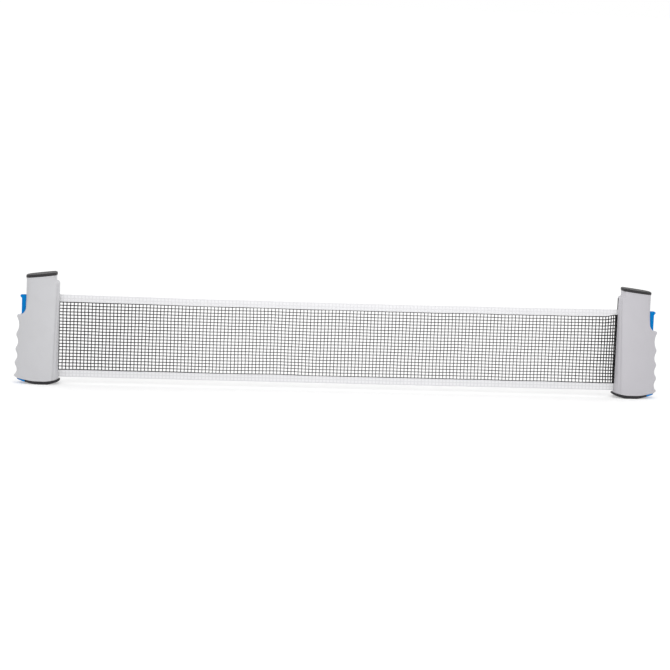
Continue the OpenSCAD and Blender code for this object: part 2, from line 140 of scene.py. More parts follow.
floor_mesh = bpy.data.meshes.new("floor")
floor_mesh.from_pydata([(x * FLOOR_HALF, y * FLOOR_HALF, -FLOOR_DROP) for x, y in
                        ((-1, -1), (1, -1), (1, 1), (-1, 1))], [], [(0, 1, 2, 3)])
floor = bpy.data.objects.new("floor", floor_mesh)
scene.collection.objects.link(floor)
floor_paint = bpy.data.materials.new("white floor")
floor_paint.use_nodes = True
tree = floor_paint.node_tree
paint = tree.nodes["Principled BSDF"]
paint.inputs["Base Color"].default_value = (FLOOR_GREY, FLOOR_GREY, FLOOR_GREY, 1)
paint.inputs["Roughness"].default_value = 0.9
paint.inputs["Specular IOR Level"].default_value = 0.0
lift = maths(tree, "MULTIPLY", shown_directly(tree), FLOOR_LIFT)
glow = node(tree, "Emission", {"Strength": lift})
both = node(tree, "AddShader", {0: paint.outputs[0], 1: glow.outputs[0]})
tree.links.new(both.outputs[0], tree.nodes["Material Output"].inputs["Surface"])
floor_mesh.materials.append(floor_paint)


# ---------- Housing shells ----------
# Two light grey ABS mouldings to a post, a front and a back, screwed together from the back.
# They bow, lean in towards the top, and have finger ridges down the outer end and a round nose
# with the net slot at the inner end.

# A post has its own frame: x from the housing's outer face towards the net, front -y, z up from
# the closed jaw. POST_X is how far its x = 0 stands from the middle of the net.
POST_X = 553.5
# bowed faces and wall
FACE_X, FACE_R, HALF_DEPTH, LEAN, WALL = 30.0, 78.6, 22.0, 5.5 / 190, 2.2
# slanting rim with its bead, and its step out to the nose
RIM_Z, RIM_RISE, RIM_X, RIM_STEP, SLANT_FROM = 186.0, 6.5, 53.0, 0.7, 150.0
BEAD, BEAD_Z = 0.35, 183.4
# nose, net slot, and the crease between face and nose with painted shade in it
NOSE_X, NOSE_TOP, NOSE_R, TOP_R, SHOULDER = 58.5, 182.0, 25.0, 34.6, 5.0
SLOT_HALF, SLOT_TOP, SLOT_FOOT = 3.4, 178.0, 9.4
CREASE_R, CREASE_DEPTH, CREASE_WIDTH = 3.0, 1.6, 2.3
# painted shade in the crease: how far it reaches either side of the crease line, and where it fades
# out below the rim
CREASE_X, CREASE_LEAN, SHADE_FROM, SHADE_TO, SHADE_TOP = 49.0, 0.0305, 0.2, 3.1, (175.0, 182.0)
# colour of the painted shade in the crease
CREASE_SHADE = (150, 149, 152)
# sole, which curves up at both ends, and the proud foot above it
SOLE_Z, FLOOR_Z, PAD_TOP, FOOT_TOP, FOOT_PROUD = 5.4, 9.0, 7.1, 8.0, 0.6
SOLE_X, SOLE_RISE = (-150, -14, 2, 14, 37.2, 50.8, 62, 150), (14.8, 3.7, 1.6, 0, 0, 1.7, 3.6, 14.8)
# grip: notch, finger ridges (x, z, radius) from the tip down, and the grooves between them
NOTCH_X, NOTCH_Z, NOTCH_R = -14.0, 134.0, 14.0
RIDGES = [(-13.0, 117.5, 2.5), (-9.2, 85.0, 7.0), (-10.0, 59.0, 7.0), (-11.0, 35.0, 7.0),
          (-14.0, 11.0, 5.0)]
GROOVES = [28.0, 17.0, 14.0, 13.0]
# pocket of the base pad, way of the clamp's stem, shelf of its spring, and the screws
PAD_X, STEM_WAY = (13.0, 37.2), (-7.8, 5.0, 5.3)
SHELF = (-5.4, 2.6, 54.0, 58.0)
SCREWS = [(10.8, 40.0), (10.8, 120.0), (30.0, 176.0)]
SCREW_SEAT, SCREW_SINK, SCREW_BOSS, SCREW_HOLE = 7.0, 3.2, 4.3, 1.55
# how far front and back stand from the plane where they meet
SEAM = 0.02


def ease(t):
    """0 to 1 with soft ends."""
    t = min(max(t, 0.0), 1.0)
    return t * t * (3 - 2 * t)


def groove_centre(i):
    """The groove's circle touches the ridges above and below it from outside."""
    (x0, z0, r0), (x1, z1, r1) = RIDGES[i], RIDGES[i + 1]
    r0, r1 = r0 + GROOVES[i], r1 + GROOVES[i]
    d = math.hypot(x1 - x0, z1 - z0)
    ux, uz = (x1 - x0) / d, (z1 - z0) / d
    t = (r0 * r0 - r1 * r1 + d * d) / (2 * d)
    h = math.sqrt(r0 * r0 - t * t)
    return x0 + t * ux + h * uz, z0 + t * uz - h * ux


def ridge_meets(k, i, e):
    """Height where ridge k runs into groove i."""
    cx, cz = groove_centre(i)
    x, z, r = RIDGES[k]
    return z + (cz - z) / math.hypot(cx - x, cz - z) * (r - e)


def outer_end(z, e):
    """Where the housing begins at height z, e inside its surface: grip, notch, then upright."""
    if z >= NOTCH_Z:
        return e
    if z > NOTCH_Z - NOTCH_R - e and z > RIDGES[0][1]:
        reach = (NOTCH_R + e) ** 2 - (NOTCH_Z - z) ** 2
        end = NOTCH_X + math.sqrt(max(reach, 0.0))
        if z > RIDGES[0][1] + RIDGES[0][2] - e:
            return max(end, RIDGES[0][0])
    for i, r in enumerate(GROOVES):
        if ridge_meets(i + 1, i, e) < z < ridge_meets(i, i, e):
            cx, cz = groove_centre(i)
            return cx + math.sqrt((r + e) ** 2 - (z - cz) ** 2)
    x, zc, r = min(RIDGES, key=lambda ridge: abs(ridge[1] - z) - ridge[2])
    return x - math.sqrt(max((r - e) ** 2 - (z - zc) ** 2, 0.0))


def inner_end(z):
    """Where the housing ends towards the net at height z: nose, its rounded top, then the rim."""
    if z <= NOSE_TOP - SHOULDER:
        return NOSE_X
    if z < NOSE_TOP:
        t = (z - NOSE_TOP + SHOULDER) / SHOULDER
        return RIM_X + RIM_STEP + (NOSE_X - RIM_X - RIM_STEP) * math.sqrt(1 - t ** 2)
    return RIM_X + RIM_STEP * math.exp(NOSE_TOP - z)


def corner_radius(z):
    """Rounding of the outer end in plan: grip, tip of the grip, then upright."""
    grip, tip, upright = 7.0, 4.0, 12.0
    return grip + (tip - grip) * ease((z - 110) / 8) + (upright - tip) * ease((z - 128) / 24)


def arc(cx, cy, r, a0, a1, n, crowd=1.0):
    """Points of an arc; crowd below 1 crowds them at its end, above 1 at its start."""
    shares = [(i / (n - 1)) ** crowd if crowd >= 1 else 1 - (1 - i / (n - 1)) ** (1 / crowd)
              for i in range(n)]
    return [(cx + r * math.cos(a0 + (a1 - a0) * t), cy + r * math.sin(a0 + (a1 - a0) * t))
            for t in shares]


def half_outline(x0, x1, z, e=0.0, grow=0.0, grow_end=0.0, slot=0.0, crease=0.0):
    """Front half of the plan at height z, from (x0, 0) round to (x1, 0), e inside the surface."""
    fy = FACE_R - (HALF_DEPTH - LEAN * z)
    face_r = FACE_R - e + grow
    end_r = max(corner_radius(z) - e, 1.0) + grow_end
    x0 -= grow_end
    nose_r = NOSE_R + (TOP_R - NOSE_R) * ease((z - NOSE_TOP + SHOULDER) / (SHOULDER + 1))
    nx = x1 - nose_r
    nose_r += grow - e
    # round of the outer end, touching the face from inside
    end_x = x0 + end_r
    reach = (face_r - end_r) ** 2 - (FACE_X - end_x) ** 2
    end_y = -max(math.sqrt(reach) - fy, 0.05)
    end_angle = math.atan2(end_y - fy, end_x - FACE_X) % (2 * math.pi)
    # fillet of the crease between face and nose
    rho = max(max(CREASE_R - e, 0.8) + grow, 0.4)
    dx, dy = nx - FACE_X, -fy
    d = math.hypot(dx, dy)
    ra, rb = face_r - rho, nose_r - rho
    t = (ra * ra - rb * rb + d * d) / (2 * d)
    h = math.sqrt(max(ra * ra - t * t, 0.0))
    kx, ky = FACE_X + t * dx / d - h * dy / d, fy + t * dy / d + h * dx / d
    face_angle = math.atan2(ky - fy, kx - FACE_X) % (2 * math.pi)
    nose_angle = math.atan2(ky, kx - nx) % (2 * math.pi)
    deepest = (face_angle + nose_angle) / 2
    at = (kx + rho * math.cos(deepest), ky + rho * math.sin(deepest))
    # from the seam along the outer end, face, crease and nose to the slot's lip
    last = 2 * math.pi - math.asin((slot + 0.35) / nose_r)
    line = [(x0 + 0.3, -SEAM), (x0 + 0.06, -0.12), (x0, -0.4)]
    straight = -end_y - 0.4
    line += ([(x0, -0.4 - straight * i / 4) for i in (1, 2, 3)] if straight > 0.1
             else [(x0, -0.42)] * 3)
    line += arc(end_x, end_y, end_r, math.pi, end_angle, 13)
    for cx, cy, radius, curve in (
            (FACE_X, fy, face_r, arc(FACE_X, fy, face_r, end_angle, face_angle, 30, 0.55)[1:-1]),
            (kx, ky, rho, arc(kx, ky, rho, face_angle, nose_angle, 6)),
            (nx, 0.0, nose_r, arc(nx, 0, nose_r, nose_angle, last, 18, 1.6)[1:])):
        for x, y in curve:
            sunk = crease * math.exp(-(math.dist((x, y), at) / CREASE_WIDTH) ** 2) / radius
            line.append((x - (x - cx) * sunk, y - (y - cy) * sunk))
    lip = line[-1][0]
    return line + [(lip - 0.08, -slot - 0.1), (lip - 0.35, -slot - SEAM)]


def eased_line(x, xs, zs, reach=4.0):
    """A line through points with its corners eased."""
    return float(np.interp(x + reach * np.linspace(-1, 1, 9), xs, zs).mean())


def settle(x, z):
    """Height of a plan point: the sole curves up at both ends and the rim slants."""
    sole = eased_line(x, SOLE_X, SOLE_RISE) * (1 - ease((z - SOLE_Z) / 10))
    slant = RIM_RISE / RIM_X * min(x, RIM_X)
    return z + sole + slant * ease((z - SLANT_FROM) / (RIM_Z - SLANT_FROM))


def housing_levels():
    """Heights of the sections, denser where the surface turns."""
    (_, tip_z, tip_r), arch = RIDGES[0], np.arange(5, 91, 4.5)
    levels = [SOLE_Z, SOLE_Z + 0.35, 6.3, PAD_TOP, FOOT_TOP, FOOT_TOP + 0.3, FOOT_TOP + 0.6]
    levels += list(np.arange(FLOOR_Z, 115.1, 1.25))
    levels += [z for a in range(-50, 90, 14)
               if (z := tip_z + tip_r * math.sin(math.radians(a))) > 115.3]
    levels += [z for a in arch if (z := NOTCH_Z - NOTCH_R * math.cos(math.radians(a))) > 120.02]
    levels += list(np.arange(137.0, 168.0, 3.0)) + list(np.arange(169.0, 183.5, 0.7))
    return levels + [BEAD_Z + 0.05, BEAD_Z + 0.2, BEAD_Z + 0.5, 184.8, 185.6, RIM_Z]


def housing_half():
    """Points, faces and the faces painted dark as shade (inner walls and slot lips) of the front
    half; the back is its mirror image.
    """
    rings, first_hollow = [], None
    for z in housing_levels():
        z_in = settle(RIM_X, z)
        grow = FOOT_PROUD * (1 - ease((z - FOOT_TOP) / 0.6)) if z < FLOOR_Z else 0.0
        if z < SOLE_Z + 0.1:
            grow = 0.35
        bead = BEAD * ease((z - BEAD_Z) / 0.5)
        slot = SLOT_HALF if SLOT_FOOT < z_in < SLOT_TOP else 0.0
        outline = half_outline(outer_end(z, 0), inner_end(z_in), z, grow=grow + bead,
                               grow_end=bead, slot=slot, crease=CREASE_DEPTH)
        if z <= FLOOR_Z:
            (x0, _), (x1, _) = outline[0], outline[-1]
            seam = [(x, -SEAM) for x in np.linspace(x0 + 0.05, x1 - 0.05, len(outline))]
            rings.append((z - 0.01, outline, seam))
        if z >= FLOOR_Z:
            inner = half_outline(outer_end(z, WALL), inner_end(z_in), z, e=WALL, slot=slot)
            rings.append((z, outline, inner))
            first_hollow = first_hollow or len(rings) - 1
    points, faces, inside = [], [], []
    half = len(rings[0][1])
    m = 2 * half
    for z, outline, inner in rings:
        points += [(x, y, settle(x, z)) for x, y in outline + inner[::-1]]
    for k in range(len(rings) - 1):
        for i in range(m):
            j = (i + 1) % m
            faces.append((k * m + i, k * m + j, (k + 1) * m + j, (k + 1) * m + i))
            # the inner walls and the slot's lips get the dark painted shade of the inside
            inside.append(int(k >= first_hollow and i >= half - 3))
    top = (len(rings) - 1) * m
    for i in range(half - 1):
        faces.append((m - 1 - i, m - 2 - i, i + 1, i))
        faces.append((top + i, top + i + 1, top + m - 2 - i, top + m - 1 - i))
        inside += [0, 0]
    return points, faces, inside


def place(points, side):
    """A post's own millimetres to the object's metres; the right post is the mirror image."""
    p = np.asarray(points, float)
    x = p[:, 0] - POST_X if side == "left" else POST_X - p[:, 0]
    return np.column_stack((x, p[:, 1], p[:, 2])) * MM


def smoothed(mesh, angle):
    """Smooth, except where faces meet at more than an angle."""
    mesh.polygons.foreach_set("use_smooth", [True] * len(mesh.polygons))
    mesh.set_sharp_from_angle(angle=math.radians(angle))


def piece(name, points, faces, mirrored=False, smooth=40):
    """A mesh object from points in metres."""
    mesh = bpy.data.meshes.new(name)
    mesh.from_pydata([tuple(p) for p in points], [],
                     [tuple(reversed(f)) for f in faces] if mirrored else faces)
    mesh.validate()
    smoothed(mesh, smooth)
    made = bpy.data.objects.new(name, mesh)
    scene.collection.objects.link(made)
    return made


def applied(made, smooth=40):
    """Turns a piece's modifiers into its mesh."""
    graph = bpy.context.evaluated_depsgraph_get()
    mesh = bpy.data.meshes.new_from_object(made.evaluated_get(graph))
    made.modifiers.clear()
    made.data = mesh
    smoothed(mesh, smooth)


def combine(made, tool, operation):
    step = made.modifiers.new(operation, "BOOLEAN")
    step.operation, step.object, step.solver = operation, tool, "EXACT"
    applied(made)
    bpy.data.objects.remove(tool)


def skin(rings):
    """Points and faces over equal rings, closed at both ends."""
    m = len(rings[0])
    points = [p for ring in rings for p in ring]
    faces = [(k * m + i, (k + 1) * m + i, (k + 1) * m + (i + 1) % m, k * m + (i + 1) % m)
             for k in range(len(rings) - 1) for i in range(m)]
    last = (len(rings) - 1) * m
    return points, faces + [tuple(range(m)), tuple(reversed(range(last, last + m)))]


def solid(name, rings, mirrored=False, smooth=40):
    """A blank or a tool, still in a post's own place."""
    points, faces = skin(rings)
    return piece(name, np.asarray(points) * MM, faces, mirrored, smooth)


def drum(x, z, y0, y1, r, n=48):
    """A round tool across a post, from y0 to y1."""
    ring = [(r * math.cos(2 * math.pi * i / n), r * math.sin(2 * math.pi * i / n))
            for i in range(n)]
    return solid("drum", [[(x + a, y, z + b) for a, b in ring] for y in (y0, y1)])


def crate(x0, x1, y0, y1, z0, z1):
    """A square-cornered tool."""
    return solid("crate", [[(x, y0, z0), (x, y0, z1), (x, y1, z1), (x, y1, z0)]
                           for x in (x0, x1)])


def pad_well(turned):
    """The pocket of the base pad; turned is 1 in the front shell and -1 in the back one."""
    x0, x1 = PAD_X
    ends = half_outline(0.0, RIM_X, 0.0, e=3.5)
    edge = [(x, float(np.interp(x, *zip(*ends)))) for x in np.linspace(x0, x1, 9)]
    well = [(x0, 0.5)] + edge + [(x1, 0.5)]
    return solid("pad well", [[(x, turned * y, z) for x, y in well] for z in (0.0, PAD_TOP)],
                 mirrored=turned > 0)


def taken_off(blank):
    """A finished blank's points in millimetres, its faces and their slots; the blank goes."""
    mesh = blank.data
    points = np.array([v.co for v in mesh.vertices]) / MM
    faces = [tuple(p.vertices) for p in mesh.polygons]
    slots = [min(p.material_index, 1) for p in mesh.polygons]
    bpy.data.objects.remove(blank)
    return points, faces, slots


def linear(rgb, alpha=1.0):
    """Screen colour 0-255 to the shader's linear values."""
    return tuple((v / 255 / 12.92) if v <= 10 else ((v / 255 + 0.055) / 1.055) ** 2.4
                 for v in rgb) + (alpha,)


def effect(name, inputs, build):
    """A shader node group; build works out its outputs from object coordinates and its inputs."""
    group = bpy.data.node_groups.new(name, "ShaderNodeTree")
    for title, value in inputs.items():
        kind = "NodeSocketColor" if isinstance(value, tuple) else "NodeSocketFloat"
        group.interface.new_socket(title, in_out="INPUT", socket_type=kind).default_value = value
    given = group.nodes.new("NodeGroupInput").outputs
    results = build(group, node(group, "TexCoord").outputs["Object"], given)
    for title in results:
        kind = "NodeSocketColor" if title == "Colour" else "NodeSocketFloat"
        group.interface.new_socket(title, in_out="OUTPUT", socket_type=kind)
    end = group.nodes.new("NodeGroupOutput").inputs
    for title, value in results.items():
        group.links.new(value, end[title])
    return group


def noise(tree, where, scale, detail, distortion=0.0):
    return node(tree, "TexNoise", {"Vector": where, "Scale": scale, "Detail": detail,
                                   "Distortion": distortion}).outputs["Fac"]


def mixed(tree, factor, a, b):
    return node(tree, "Mix", {"Factor": factor, "A": a, "B": b},
                data_type="RGBA").outputs["Result"]


def fading(tree, value, start, end):
    """1 up to start, fading to 0 at end."""
    return node(tree, "MapRange", {"Value": value, "From Min": start, "From Max": end,
                                   "To Min": 1.0, "To Max": 0.0},
                interpolation_type="SMOOTHSTEP").outputs["Result"]


def moulding(tree, where, given):
    """Spark-eroded mould texture, faint flow mottling, and painted shade in the crease of the
    housing.
    """
    flow = noise(tree, where, 38, 5, 0.6)
    patch = node(tree, "MapRange", {"Value": flow, "From Min": 0.35, "From Max": 0.75})
    amount = maths(tree, "MULTIPLY", patch.outputs["Result"], given["Mottle"])
    tint = mixed(tree, amount, given["Colour"], given["Dust colour"])
    # painted shade darkens the crease, which runs towards the net as it rises; the shade fades out
    # below the rim
    parts = node(tree, "SeparateXYZ", {0: where}).outputs
    crease = maths(tree, "ADD", maths(tree, "ABSOLUTE", parts["X"]),
                   maths(tree, "MULTIPLY_ADD", parts["Z"], CREASE_LEAN, (CREASE_X - POST_X) * MM))
    shaded = maths(tree, "MULTIPLY",
                  fading(tree, maths(tree, "ABSOLUTE", crease), SHADE_FROM * MM, SHADE_TO * MM),
                  fading(tree, parts["Z"], *(z * MM for z in SHADE_TOP)))
    shaded = maths(tree, "MULTIPLY", shaded, given["Crease shade"])
    return {"Colour": mixed(tree, shaded, tint, linear(CREASE_SHADE)),
            "Roughness": maths(tree, "MULTIPLY_ADD", flow, 0.12, given["Roughness"]),
            "Height": noise(tree, where, given["Grain per metre"], 3)}


def finished(name, group, relief, values, constants):
    """A material whose colour, roughness and relief, so many metres high, come from a group."""
    material = bpy.data.materials.new(name)
    material.use_nodes = True
    tree = material.node_tree
    shader = tree.nodes["Principled BSDF"].inputs
    source = node(tree, "Group", values, node_tree=group).outputs
    bump = node(tree, "Bump", {"Distance": relief, "Height": source["Height"]})
    tree.links.new(source["Colour"], shader["Base Color"])
    tree.links.new(bump.outputs["Normal"], shader["Normal"])
    if "Roughness" in source:
        tree.links.new(source["Roughness"], shader["Roughness"])
    for title, value in constants.items():
        shader[title].default_value = value
    return material


MOULDING = effect("moulding", {
    "Colour": (0.5, 0.5, 0.5, 1), "Dust colour": (0.4, 0.4, 0.4, 1), "Grain per metre": 1500.0,
    "Mottle": 0.3, "Roughness": 0.5, "Crease shade": 0.0}, moulding)


def moulded(name, colour, dust, grain, relief, roughness, mottle, specular=0.5, crease=0.0):
    return finished(name, MOULDING, relief, {
        "Colour": linear(colour), "Dust colour": linear(dust), "Grain per metre": grain,
        "Mottle": mottle, "Roughness": roughness, "Crease shade": crease},
        {"Specular IOR Level": specular})


# the right post's copy of the same grey plastic is painted a little darker as painted shade; the
# last value of each is the strength of the crease's painted shade
shell_grey = {
    side: moulded(name, colour, dust, 1400, 0.00006, 0.42, 0.25, 0.5, crease)
    for side, name, colour, dust, crease in (
        ("left", "light grey ABS", (207, 207, 210), (197, 196, 198), 0.18),
        ("right", "light grey ABS, painted darker as shade", (199, 197, 202), (190, 188, 193), 0.16))}
# painted shade: the inside of the shells and the slot's lips are painted nearly black for the shade
# inside the housing
painted_inside_shade = moulded("inside of the shells, painted shade", (46, 45, 48), (40, 39, 42),
                       700, 0.00012, 0.8, 0.4, 0.2)
half_points, half_faces, inside = housing_half()
for half, turned in (("front", 1), ("back", -1)):
    blank = piece("blank", np.asarray(half_points) * (1, turned, 1) * MM, half_faces,
                  mirrored=turned < 0)
    # two slots carry the outside and the inside, painted dark as shade, through the cuts, and the
    # outside gets its grey after them
    for _ in range(2):
        blank.data.materials.append(painted_inside_shade)
    blank.data.polygons.foreach_set("material_index", inside)
    if half == "back":
        for x, z in SCREWS:
            deep = HALF_DEPTH - LEAN * z - 2.6
            combine(blank, drum(x, z, 0.05, deep, SCREW_BOSS), "UNION")
        for x, z in SCREWS:
            combine(blank, drum(x, z, SCREW_SEAT, 30, SCREW_SINK), "DIFFERENCE")
            combine(blank, drum(x, z, -5, 30, SCREW_HOLE), "DIFFERENCE")
    combine(blank, pad_well(turned), "DIFFERENCE")
    x0, x1, wide = STEM_WAY
    for z0, z1 in ((-5, FLOOR_Z + 3.7), (NOTCH_Z - NOTCH_R - 10, 158.0)):
        combine(blank, crate(x0, x1, -wide, wide, z0, z1), "DIFFERENCE")
    x0, x1, z0, z1 = SHELF
    rim = half_outline(outer_end(z0, 0), NOSE_X, z0, e=WALL / 2)
    deep = float(np.interp(x0, *zip(*rim)))
    y0, y1 = (deep, -0.05) if half == "front" else (0.05, -deep)
    shelf = crate(x0, x1, y0, y1, z0, z1)
    shelf.data.materials.append(painted_inside_shade)
    combine(blank, shelf, "UNION")
    points, faces, slots = taken_off(blank)
    for side in ("left", "right"):
        shell = piece(f"{side}_{half}_housing", place(points, side), faces, side == "right", 32)
        shell.data.materials.append(shell_grey[side])
        shell.data.materials.append(painted_inside_shade)
        shell.data.polygons.foreach_set("material_index", slots)
        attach(shell, f"{side}_post")
        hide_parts(f"{side}_{half}_shell")


# ---------- Top caps ----------
# A black moulded lid plugs into each rim and stands a little proud of it all round. Its upper
# edge is rounded and its top is very slightly dished. It is a push fit.

# rings of the lid: how far outside the housing and how far above the rim
LID_RINGS = [(-3.0, 0.03), (0.3, 0.03), (0.72, 0.16), (0.9, 0.55), (0.9, 2.9), (0.8, 3.6),
             (0.5, 4.2), (0.05, 4.65), (-0.6, 4.92), (-1.3, 5.0), (-2.0, 4.97), (-2.6, 4.8),
             (-3.1, 4.62), (-3.7, 4.55)]


def rim_outline(grow):
    front = half_outline(0.0, RIM_X, RIM_Z, grow=grow, grow_end=grow)[2:-2]
    return front + [(x, -y) for x, y in reversed(front)]


cap_black = moulded("black cap ABS", (36, 34, 36), (52, 50, 51), 1100, 0.00008, 0.45, 0.35, 0.4)
points, faces = skin([[(x, y, RIM_Z + RIM_RISE / RIM_X * x + up) for x, y in rim_outline(grow)]
                      for grow, up in LID_RINGS])
for side in ("left", "right"):
    lid = piece(f"{side}_cap_lid", place(points, side), faces, side == "left", 50)
    lid.data.materials.append(cap_black)
    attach(lid, f"{side}_post")
    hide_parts(f"{side}_top_cap")


# ---------- Clamp sliders ----------
# One blue ABS moulding to a post: a stem with a thumb ledge slides in the outer end, and its
# root runs in under the grip, where the rubber jaw is pushed on to its tongue.
STEM = (-7.5, 4.7, 5.0)
LEDGE_Z, LIP = 155.5, 2.8
# window of the spring with a rail on each side, and the stub inside the spring's upper end
RAIL, WINDOW, STUB_R, STUB_L = 1.7, (53.7, 110.0), 2.4, 5.0
# root, tongue and jaw, how much wider than the housing the jaw is, its tip and its underside
ROOT_END, BOOT_X, TONGUE_END, JAW_REACH, JAW_T, JAW_SPREAD = -13.0, 0.5, 55.9, 62.0, 4.9, 0.4
TIP_R, TIP_X = 26.4, JAW_REACH - 26
KEEL_X = (-24, -14, -8, 2, 12, 19, 41, 52.1, 58, 63, 70)
KEEL_Z = (11.5, 7.7, 5.5, 3.1, 1.0, 0, 0, 2.9, 4.7, 6.7, 9.5)


def jaw_section(x, inset, edge, ribs=0.0, n=5):
    """Rounded section of the jaw across the post at x."""
    face = math.sqrt(FACE_R ** 2 - (x - FACE_X) ** 2) - FACE_R + HALF_DEPTH + JAW_SPREAD
    tip = TIP_R ** 2 - max(x - TIP_X, 0.0) ** 2
    w = max(min(face, math.sqrt(max(tip, 0.0))) - inset, 0.3)
    lo = eased_line(x, KEEL_X, KEEL_Z, 1.5) + inset
    hi = JAW_T + eased_line(x, SOLE_X, SOLE_RISE, 2.0) - inset - ribs
    e = min(edge, (hi - lo) * 0.45, w * 0.45)
    ring = []
    for cy, cz, a0 in ((w - e, hi - e, 0), (-w + e, hi - e, 90), (-w + e, lo + e, 180),
                       (w - e, lo + e, 270)):
        for i in range(n):
            a = math.radians(a0 + 90 * i / (n - 1))
            ring.append((x, cy + e * math.cos(a), cz + e * math.sin(a)))
    return ring


slider_blue = moulded("blue ABS", (0, 127, 205), (0, 129, 203), 1600, 0.00004, 0.38, 0.3, 0.06)
x0, x1, wide = STEM
profile = [(x0, 6.4)] + [(x0 + out, LEDGE_Z + up) for out, up in (
    (0, -6.2), (-0.5, -5.2), (-LIP + 0.4, -3.0), (-LIP, -2.2), (-LIP + 0.15, -1.2),
    (-LIP + 0.9, -0.45), (-LIP + 2.4, -0.05), (3, 0))] + [(x1, LEDGE_Z), (x1, 3.9)]
stem = solid("stem", [[(x, y, z) for x, z in profile] for y in (-wide, wide)])
bevel = stem.modifiers.new("rounded edges", "BEVEL")
bevel.width, bevel.segments, bevel.limit_method = 0.7 * MM, 3, "ANGLE"
bevel.angle_limit = math.radians(30)
applied(stem, 50)
combine(stem, crate(x0 + RAIL, x1 - RAIL, -9, 9, *WINDOW), "DIFFERENCE")
rings = [[((x0 + x1) / 2 + r * math.cos(a), r * math.sin(a), WINDOW[1] + up)
          for a in np.linspace(0, -2 * math.pi, 24, endpoint=False)]
         for up, r in ((1, STUB_R), (0.5 - STUB_L, STUB_R), (-STUB_L, STUB_R - 0.5))]
combine(stem, solid("stub", rings, mirrored=True), "UNION")
along = np.linspace(ROOT_END, BOOT_X, 16)
rings = [jaw_section(along[0], 0.9, 0.4), jaw_section(along[0] + 0.25, 0.3, 0.5)]
rings += [jaw_section(x, 0.0, 0.7) for x in along[1:]]
rings += [jaw_section(x, 1.0, 0.3) for x in (BOOT_X + 0.02, 8, 14, 20, 40, 48, TONGUE_END)]
blank = solid("root", rings, smooth=45)
combine(blank, stem, "UNION")
points, faces, _ = taken_off(blank)
for side in ("left", "right"):
    slider = piece(f"{side}_thumb_slider", place(points, side), faces, side == "right")
    slider.data.materials.append(slider_blue)
    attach(slider, f"{side}_clamp")
    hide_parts(f"{side}_clamp_slider")


# ---------- Rubber jaws ----------
# A black rubber boot over the slider's tongue meets the underside of the table. Fine ribs run
# across its upper face, and its inner tip turns up a little. It stays on by its own stretch.
BOOT_RIB, RIB_PITCH, RIBBED = 0.2, 3.0, (12, 45)
boot_rubber = moulded("black jaw rubber", (38, 37, 40), (58, 57, 60), 900, 0.00012, 0.62, 0.45, 0.35)
rings = [jaw_section(BOOT_X + 0.06, 0.5, 0.3), jaw_section(BOOT_X + 0.5, 0.08, 0.5)]
for x in np.arange(1.5, 58.0, 0.5):
    rib = (0.5 - 0.5 * math.cos(2 * math.pi * x / RIB_PITCH)) * (RIBBED[0] < x < RIBBED[1])
    rings.append(jaw_section(float(x), 0.0, 0.9, BOOT_RIB * rib))
for back in (3.5, 2.8, 2.1, 1.5, 1.0, 0.6, 0.3, 0.1):
    rings.append(jaw_section(JAW_REACH - back, 0.0, 0.9))
points, faces = skin(rings)
for side in ("left", "right"):
    boot = piece(f"{side}_jaw_rubber", place(points, side), faces, side == "right", 50)
    boot.data.materials.append(boot_rubber)
    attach(boot, f"{side}_clamp")
    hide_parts(f"{side}_jaw_boot")


# ---------- Clamp springs ----------
# A spring of round steel wire stands in the window of each slider's stem, between a shelf of the
# housing below and the top of the window above, and holds the jaw up. It is only set in place.
COIL_X, COIL_R, WIRE, TURNS = (STEM[0] + STEM[1]) / 2, 3.4, 1.2, 10
SPRING_Z, SPRING_L, TRAVEL = 58.1, 51.8, 28.0


def coil_rings(sides=10, per_turn=28):
    """Sections of the wire, square to it, along the coil."""
    pitch = (SPRING_L - WIRE) / TURNS
    tilt = math.atan(pitch / (2 * math.pi * COIL_R))
    rings = []
    for i in range(TURNS * per_turn + 1):
        a = 2 * math.pi * i / per_turn
        ring = []
        for s in range(sides):
            b = -2 * math.pi * s / sides
            out, up = WIRE / 2 * math.cos(b), WIRE / 2 * math.sin(b)
            ring.append((COIL_X + (COIL_R + out) * math.cos(a) + up * math.sin(tilt) * math.sin(a),
                         (COIL_R + out) * math.sin(a) - up * math.sin(tilt) * math.cos(a),
                         SPRING_Z + WIRE / 2 + pitch * i / per_turn + up * math.cos(tilt)))
        rings.append(ring)
    return rings


def drawing_marks(tree, where, given):
    """Fine drawing marks along a wire or bar, and a light film of oil."""
    film = noise(tree, where, 120, 2)
    return {"Colour": mixed(tree, film, given["Colour"], given["Dull colour"]),
            "Roughness": maths(tree, "MULTIPLY_ADD", film, 0.2, given["Roughness"]),
            "Height": noise(tree, where, given["Marks per metre"], 4)}


DRAWN_METAL = effect("drawn metal", {
    "Colour": (0.5, 0.5, 0.5, 1), "Dull colour": (0.3, 0.3, 0.3, 1), "Marks per metre": 900.0,
    "Roughness": 0.25}, drawing_marks)


def drawn(name, colour, dull, roughness, marks=900.0):
    return finished(name, DRAWN_METAL, 0.00003, {
        "Colour": linear(colour), "Dull colour": linear(dull), "Marks per metre": marks,
        "Roughness": roughness}, {"Metallic": 1.0})


spring_steel = drawn("spring steel", (188, 188, 192), (150, 148, 148), 0.22)
points, faces = skin(coil_rings())
for side in ("left", "right"):
    coil = piece(f"{side}_press_spring", place(points, side), faces, side == "right", 60)
    coil.data.materials.append(spring_steel)
    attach(coil, f"{side}_post")
    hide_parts(f"{side}_clamp_spring")
    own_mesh(coil)


